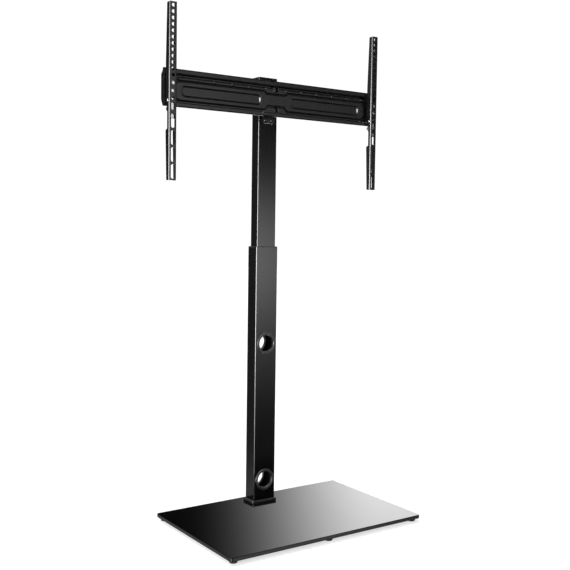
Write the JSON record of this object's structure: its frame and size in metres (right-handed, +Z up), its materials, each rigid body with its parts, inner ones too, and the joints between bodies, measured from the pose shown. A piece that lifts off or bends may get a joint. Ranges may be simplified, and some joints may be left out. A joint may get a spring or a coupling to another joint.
{
  "type": "television floor stand with mount",
  "caption": "Telescopic column on a black glass base, with cable holes and a swivelling wall plate that carries sliding, latching hook-on screen arms.",
  "frame": {"origin": "on the floor, under the middle of the glass base", "axes": "+Z up; the front (the side the screen hangs on) faces -Y; +X along the long side of the base"},
  "size_m": [0.6796, 0.39, 1.3465],
  "materials": {
    "black_glass": "polished, back-painted black tempered glass",
    "rubber": "matt",
    "powder_coat": "black satin powder coat",
    "zinc": "bright zinc plate",
    "black_plastic": "satin moulded plastic",
    "tube_coat": "black semi-gloss powder coat",
    "black_screw": "black oxide",
    "nylon": "natural nylon"
  },
  "bodies": {
    "base": {"glass_base": "black_glass", "foot_front_left": "rubber", "foot_front_middle": "rubber", "foot_front_right": "rubber", "foot_rear_left": "rubber", "foot_rear_middle": "rubber", "foot_rear_right": "rubber", "clamp_plate": "powder_coat", "lower_gasket": "rubber", "upper_gasket": "rubber", "base_bolt_front_left": "zinc", "base_bolt_front_right": "zinc", "base_bolt_rear_left": "zinc", "base_bolt_rear_right": "zinc", "plinth_cover": "black_plastic", "lower_column": "tube_coat", "grommet_front_lower": "black_plastic", "grommet_rear_lower": "black_plastic", "grommet_front_upper": "black_plastic", "grommet_rear_upper": "black_plastic", "guide_sleeve": "black_plastic", "clamp_bolt_upper": "black_screw", "clamp_bolt_lower": "black_screw"},
    "mast": {"upper_column": "tube_coat", "top_cap": "black_plastic", "lower_glide": "nylon", "column_bracket": "powder_coat", "bracket_screw_lower_left": "zinc", "bracket_screw_lower_right": "zinc", "bracket_screw_upper_left": "zinc", "bracket_screw_upper_right": "zinc", "pivot_bolt": "zinc", "pivot_nut": "zinc", "lower_friction_washer": "nylon", "upper_friction_washer": "nylon"},
    "head": {"swivel_bracket": "powder_coat", "hub_bolt_upper": "zinc", "hub_bolt_lower": "zinc", "wall_plate": "powder_coat", "plate_end_cap_left": "black_plastic", "plate_end_cap_right": "black_plastic"},
    "left_arm": {"left_arm": "powder_coat", "left_latch_pin": "zinc", "left_latch_spring": "zinc", "left_spring_rivet": "zinc"},
    "left_latch": {"left_latch": "zinc"},
    "right_arm": {"right_arm": "powder_coat", "right_latch_pin": "zinc", "right_latch_spring": "zinc", "right_spring_rivet": "zinc"},
    "right_latch": {"right_latch": "zinc"}
  },
  "joints": [
    {"name": "height_slide", "type": "slide", "parent": "base", "child": "mast", "axis": [0, 0, 1], "range_m": [-0.08, 0.04]},
    {"name": "head_swivel", "type": "hinge", "parent": "mast", "child": "head", "pos_m": [0, 0.114, 1.13825], "axis": [0, 0, 1], "range_deg": [-20, 20]},
    {"name": "left_arm_slide", "type": "slide", "parent": "head", "child": "left_arm", "axis": [1, 0, 0], "range_m": [0, 0.225]},
    {"name": "right_arm_slide", "type": "slide", "parent": "head", "child": "right_arm", "axis": [-1, 0, 0], "range_m": [0, 0.225]},
    {"name": "left_latch_hinge", "type": "hinge", "parent": "left_arm", "child": "left_latch", "pos_m": [-0.325, 0.072, 1.104], "axis": [1, 0, 0], "range_deg": [0, 16], "stiffness_Nm_per_rad": 0.3, "springref_deg": -17.19},
    {"name": "right_latch_hinge", "type": "hinge", "parent": "right_arm", "child": "right_latch", "pos_m": [0.325, 0.072, 1.104], "axis": [1, 0, 0], "range_deg": [0, 16], "stiffness_Nm_per_rad": 0.3, "springref_deg": -17.19}
  ]
}
